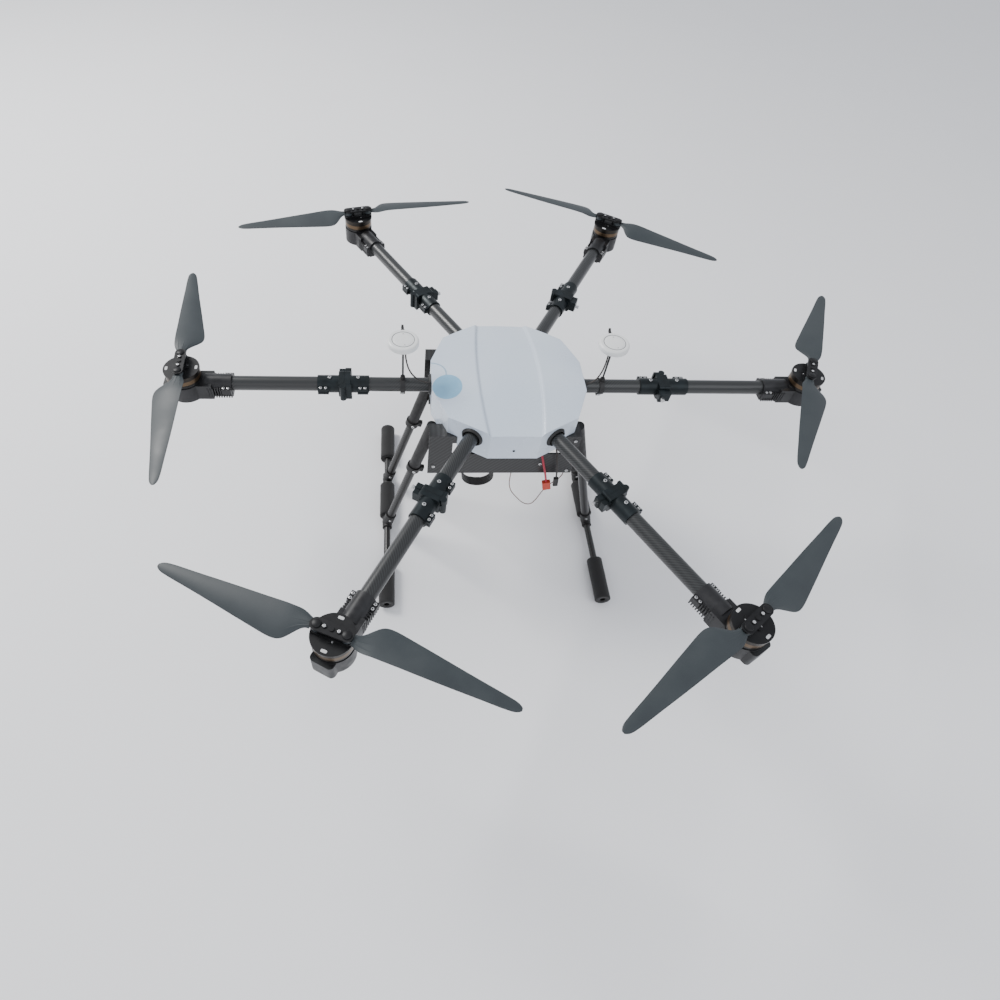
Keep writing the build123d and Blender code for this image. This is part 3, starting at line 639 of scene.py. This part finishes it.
# ------------------------------------------------------------------ details on each arm
def fold_screws(arm):
    """Bright screws on the two halves of a fold joint."""
    place = arm_frame(arm)
    inner = [(at(place, 0.312, 0, 0.0184), 0.0036, 0.0022)]
    inner += [(at(place, s, 0.0201, 0.0064), 0.0029, 0.0029) for s in (0.2975, 0.3075)]
    screws(f"fold_screws_inner_{arm}", "airframe", inner)
    outer = [(at(place, 0.370, 0, 0.0184), 0.0036, 0.0022)]
    outer += [(at(place, s, 0.0201, 0.0064), 0.0029, 0.0029) for s in (0.378, 0.388)]
    screws(f"fold_screws_outer_{arm}", f"arm_{arm}", outer)


def mount_screws(arm):
    """Bright screws in the lugs on both sides of a motor mount's clamp sleeve."""
    place = arm_frame(arm)
    spots = [
        (at(place, s, t, 0.0038), 0.0029, 0.0029) for s in (0.573, 0.582) for t in (-0.021, 0.021)
    ]
    screws(f"mount_screws_{arm}", f"arm_{arm}", spots)


def rotor_trim(arm):
    """Two clamp screws, a small pair by the middle, hinge caps and two plain marks on a rotor."""
    hub = hub_frame(arm)
    spots = [(at(hub, x, 0, 0.0199), 0.0027, 0.0010) for x in (-0.012, 0.012)]
    spots += [(at(hub, side * 0.005, side * -0.0115, 0.0), 0.0016, 0.0011) for side in (-1, 1)]
    screws(f"rotor_screws_{arm}", f"rotor_body_{arm}", spots)
    caps = bmesh.new()
    cap_profile = [(0, 0.0024), (0.0066, 0.0024), (0.0072, 0.0018), (0.0074, 0.0)]
    for x in (-HINGE_OFFSET, HINGE_OFFSET):
        lathe(caps, at(hub, x, 0, 0.0179), cap_profile, 40)
    piece(f"hinge_caps_{arm}", f"rotor_body_{arm}", caps, "clamp", "black_anodised", 50)
    bm = bmesh.new()
    for side in (-1, 1):
        corners = []
        for k in range(24):
            angle = 2 * math.pi * k / 24
            x = 0.0050 * math.copysign(abs(math.cos(angle)) ** 0.5, math.cos(angle))
            y = 0.0025 * math.copysign(abs(math.sin(angle)) ** 0.5, math.sin(angle))
            corners.append(bm.verts.new(hub @ Vector((x, side * 0.0285 + y, 0.00025))))
        top = bm.faces.new(corners)
        base = bmesh.ops.extrude_face_region(bm, geom=[top])
        moved = [v for v in base["geom"] if isinstance(v, bmesh.types.BMVert)]
        bmesh.ops.translate(bm, verts=moved, vec=(0, 0, -0.0003))
    piece(f"rotor_marks_{arm}", f"rotor_body_{arm}", bm, "mark", "white_plastic")


def blade_ribs(arm, which):
    """The raised ribs that fan out from the root of a folding blade, laid on its surface."""
    letter = "ab"[which]
    node = nodes[f"blade_{letter}_{arm}"]
    lead = -1 if ARMS.index(arm) % 2 == 0 else 1
    place = blade_frame(arm, which)
    bm = bmesh.new()
    lines = [
        [(0.0105, 0.0042), (0.0180, 0.0062), (0.0280, 0.0078), (0.0400, 0.0088), (0.0520, 0.0086)],
        [(0.0105, -0.0042), (0.0180, -0.0068), (0.0270, -0.0110), (0.0360, -0.0175), (0.0440, -0.0240)],
        [(0.0125, 0.0000), (0.0220, -0.0005), (0.0340, -0.0020), (0.0470, -0.0040)],
    ]
    for line in lines:
        rows = []
        for number, (x, y) in enumerate(line):
            fade = 1.0 - number / (len(line) - 1)
            before = line[max(number - 1, 0)]
            after = line[min(number + 1, len(line) - 1)]
            run = Vector((after[0] - before[0], after[1] - before[1])).normalized()
            row = []
            for across, rise in ((-0.0013, -0.0002), (-0.0005, 0.0007), (0.0005, 0.0007), (0.0013, -0.0002)):
                px = x - run.y * across
                py = (y + run.x * across) * lead
                origin = place @ Vector((px, py, 0.05))
                hit, spot, _, _ = node.ray_cast(origin, Vector((0, 0, -1)))
                height = spot.z if hit else BLADE_Z
                lift = rise * fade if rise > 0 else rise
                row.append(bm.verts.new((origin.x, origin.y, height + lift)))
            rows.append(row)
        for first, second in zip(rows, rows[1:]):
            for k in range(3):
                bm.faces.new((first[k], first[k + 1], second[k + 1], second[k]))
    piece(f"blade_ribs_{letter}_{arm}", f"blade_body_{letter}_{arm}", bm, "blade", "blade_polymer", 80)


for arm in ARMS:
    fold_screws(arm)
    mount_screws(arm)
    rotor_trim(arm)
    blade_ribs(arm, 0)
    blade_ribs(arm, 1)


# ------------------------------------------------------------------ landing gear
LEAN = math.atan(0.272)


def strut_frame(side, y, height):
    """Row-frame matrix on a leg's axis at a height, with z up along the leg."""
    x = side * (0.257 - (height + 0.284) * 0.272)
    turn = Matrix.Rotation(-side * LEAN, 4, "Y")
    return Matrix.Translation((x, y, height)) @ turn


def foam_grips():
    """Six foam sleeves with rounded ends and the soft dents of use."""
    bm = bmesh.new()
    low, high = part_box("foam_sleeves")
    radius = (high.z - low.z) / 2
    for side in (-1, 1):
        for start, end in ((-0.296, -0.186), (-0.049, 0.049), (0.138, 0.248)):
            place = facing(Vector((side * 0.257, start, -0.284)), Vector((0, 1, 0)))
            length = end - start
            profile = [(0.0083, 0.0008), (0.0105, 0.0), (radius - 0.0022, 0.0), (radius - 0.0006, 0.0007),
                       (radius, 0.0024)]
            steps = 14
            for step in range(1, steps):
                share = step / steps
                dent = 0.00025 * math.sin(37 * share + 11 * start + side)
                profile.append((radius - abs(dent), 0.0024 + (length - 0.0048) * share))
            profile += [(radius, length - 0.0024), (radius - 0.0006, length - 0.0007),
                        (radius - 0.0022, length), (0.0105, length), (0.0083, length - 0.0008)]
            lathe(bm, place, profile, segments=48)
    foam = piece("foam_grips", "airframe", bm, "foam", "foam_rubber", 60)
    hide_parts("foam_sleeves")


def landing_screws():
    """Screws in the tee fittings, leg collars and the bay's corners."""
    spots = []
    for side in (-1, 1):
        for y in (-0.068, 0.068):
            stub = strut_frame(side, y, -0.258)
            for turn in (-1, 1):
                screw = facing(Vector((0, 0.0126 * turn, 0)), Vector((0, turn, 0)))
                spots.append((stub @ screw, 0.003, 0.0022))
            collar = strut_frame(side, y, -0.055)
            front = Vector((0, -0.0158, 0))
            spots.append((collar @ facing(front, Vector((0, -1, 0))), 0.0034, 0.0026))
    for x, z in ((-0.156, 0.024), (0.135, 0.009), (0.135, 0.106)):
        for y in (-BEAM_FACE_Y, BEAM_FACE_Y):
            spots.append((facing(Vector((x, y, z)), Vector((0, y, 0))), 0.0036, 0.0024))
    spots.append((facing(Vector((0.073, -BEAM_FACE_Y, 0.032)), Vector((0, -1, 0))), 0.0036, 0.0024))
    for x in MASTS_X:
        spots.append((facing(Vector((x, -0.0044, ARM_Z - 0.0195)), Vector((0, -1, 0))), 0.0034, 0.0026))
    screws("airframe_screws", "airframe", spots)


def strap_loop():
    """The slack end loop of the battery strap, a woven band with turned edges and a stitched lap."""
    low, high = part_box("battery_strap")
    middle_x = (low.x + high.x) / 2
    half = (high.x - low.x) / 2
    sag = high.z - low.z
    wide = (high.y - low.y) / 2
    middle_y = (low.y + high.y) / 2
    bm = bmesh.new()
    rows = []
    steps = 56
    span = 0.031
    radius = (span * span + sag * sag) / (2 * sag)
    centre_z = -sag + radius
    first = math.pi - math.asin(-centre_z / radius)
    last = 3 * math.pi - first
    for step in range(steps + 1):
        share = step / steps
        angle = first + (last - first) * share
        ease = math.sin(math.pi * share)
        shift = 0.0012 * ease * math.sin(5 * share)
        row = []
        outline = [(-1, 0), (-0.97, 0.8), (-0.8, 1), (0.8, 1), (0.97, 0.8), (1, 0),
                   (0.97, -0.8), (0.8, -1), (-0.8, -1), (-0.97, -0.8)]
        for across, thick in outline:
            away = radius - 0.001 + 0.0009 * thick
            if 0.40 < share < 0.56 and thick < 0:
                away -= 0.0012
            x = middle_x + min(away, half) * math.cos(angle)
            z = centre_z + away * math.sin(angle)
            row.append(bm.verts.new((x, middle_y + across * wide + shift, min(z, 0.0))))
        rows.append(row)
    for one, two in zip(rows, rows[1:]):
        for k in range(len(one)):
            j = (k + 1) % len(one)
            bm.faces.new((one[k], one[j], two[j], two[k]))
    bm.faces.new(rows[0])
    bm.faces.new(rows[-1])
    strap = piece("strap_loop", "airframe", bm, "webbing", "strap_webbing", 60)
    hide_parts("battery_strap")


foam_grips()
landing_screws()
strap_loop()


# ------------------------------------------------------------------ receivers and cowl
def receiver_trim():
    """Ring, raised middle, pointer, lamp and the tail stub of each satellite receiver."""
    low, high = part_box("gps_pucks")
    top = high.z
    rings = bmesh.new()
    middles = bmesh.new()
    stubs = bmesh.new()
    middle_profile = [(0, 0.0011), (0.008, 0.0010), (0.015, 0.0007), (0.0195, 0.0003), (0.0205, -0.0003)]
    dot_profile = [(0, 0.0004), (0.0008, 0.0004), (0.0010, -0.0004)]
    for x in MASTS_X:
        place = Matrix.Translation((x, 0, top))
        lathe(rings, place, [(0.0214, -0.0004), (0.0216, 0.0003), (0.0226, 0.0003), (0.0228, -0.0004)], 64)
        lathe(middles, place, middle_profile, 64)
        lathe(rings, at(place, 0.003, -0.0165, 0.0004), dot_profile, 12)
        pointer = [(0.0, 0.0170, 0.0010), (-0.0013, 0.0145, 0.0011), (0.0013, 0.0145, 0.0011)]
        rings.faces.new([rings.verts.new(place @ Vector(p)) for p in pointer])
        tail = Vector((x, 0.0295, top - 0.009))
        tip = Vector((x - 0.001, 0.0410, top - 0.005))
        rod(stubs, tail, tip, 0.0020, 0.0030)
        rod(stubs, tip, tip + Vector((0, 0.003, 0.005)), 0.0030, 0.0022)
        for side in (-1, 1):
            rod(stubs, Vector((x + side * 0.0075, 0.0280, top - 0.006)), tip, 0.0005, 0.0005, 8)
    piece("receiver_rings", "airframe", rings, "ring", "white_plastic", 60)
    piece("receiver_middles", "airframe", middles, "white", "white_plastic", 60)
    piece("receiver_tails", "airframe", stubs, "moulded", "moulded_black", 60)


def lead_boots():
    """Tapered strain reliefs where the receiver leads leave the receivers and enter the cowl."""
    bm = bmesh.new()
    upper = [(0, 0), (0.0024, 0), (0.0023, 0.004), (0.0020, 0.009), (0.0017, 0.011), (0, 0.011)]
    lower = [(0, 0), (0.0042, 0), (0.0040, 0.0015), (0.0027, 0.007), (0.0019, 0.009), (0, 0.009)]
    for x in RECEIVER_LEADS_X:
        place = facing(Vector((x, 0, 0.2462)), Vector((0, 0, -1)))
        lathe(bm, place, upper, 20)
    for side in (-1, 1):
        place = facing(Vector((side * 0.1608, -0.017, 0.158)), Vector((side, 0, 0)))
        lathe(bm, place, lower, 20)
    piece("lead_boots", "airframe", bm, "rubber", "soft_rubber", 50)


def cowl_trim():
    """The small sensor hole in the front face of the cowl, with its raised lip: a flat disc in dark painted
    shade stands for the hole.
    """
    bm = bmesh.new()
    place = facing(Vector((0, -0.165, 0.1165)), Vector((0, -1, 0)))
    lathe(bm, place, [(0, 0.0002), (0.0016, 0.0002), (0.0018, 0.0008), (0.0024, 0.0008), (0.0027, 0.0)], 24)
    piece("cowl_sensor", "airframe", bm, "dark", "moulded_black", 60)


receiver_trim()
lead_boots()
cowl_trim()


# ------------------------------------------------------------------ floor and light
def make_floor():
    """A plain pale floor under the skids."""
    bm = bmesh.new()
    bmesh.ops.create_grid(bm, x_segments=1, y_segments=1, size=9.0)
    mesh = bpy.data.meshes.new("floor")
    bm.to_mesh(mesh)
    bm.free()
    floor = bpy.data.objects.new("floor", mesh)
    scene.collection.objects.link(floor)
    floor.location.z = FLOOR_Z - 0.0003
    paint = Paint("floor", roughness=0.9)
    paint.colour(paint.mix(paint.noise(3, 2), (0.90, 0.90, 0.91), (0.92, 0.92, 0.93)))
    mesh.materials.append(paint.material)


def area_light(name, place, aim, size, energy, tint):
    """A soft square light turned towards a point."""
    data = bpy.data.lights.new(name, "AREA")
    data.size = size
    data.energy = energy
    data.color = tint
    made = bpy.data.objects.new(name, data)
    scene.collection.objects.link(made)
    made.matrix_world = facing(Vector(place), Vector(place) - Vector(aim))


make_floor()
area_light("key", (-3.0, 1.8, 3.2), (0, 0, 0), 1.7, 210, (1.0, 0.99, 0.97))
area_light("fill", (1.8, -2.6, 3.0), (0, 0, 0), 3.0, 45, (0.93, 0.96, 1.0))
area_light("front", (-1.2, -3.4, 1.6), (0, 0, 0.1), 2.5, 14, (1.0, 0.96, 0.97))
world = bpy.data.worlds.new("world")
scene.world = world
world.use_nodes = True
sky = world.node_tree.nodes["Background"]
sky.inputs["Color"].default_value = (0.90, 0.93, 1.0, 1.0)
sky.inputs["Strength"].default_value = 0.85
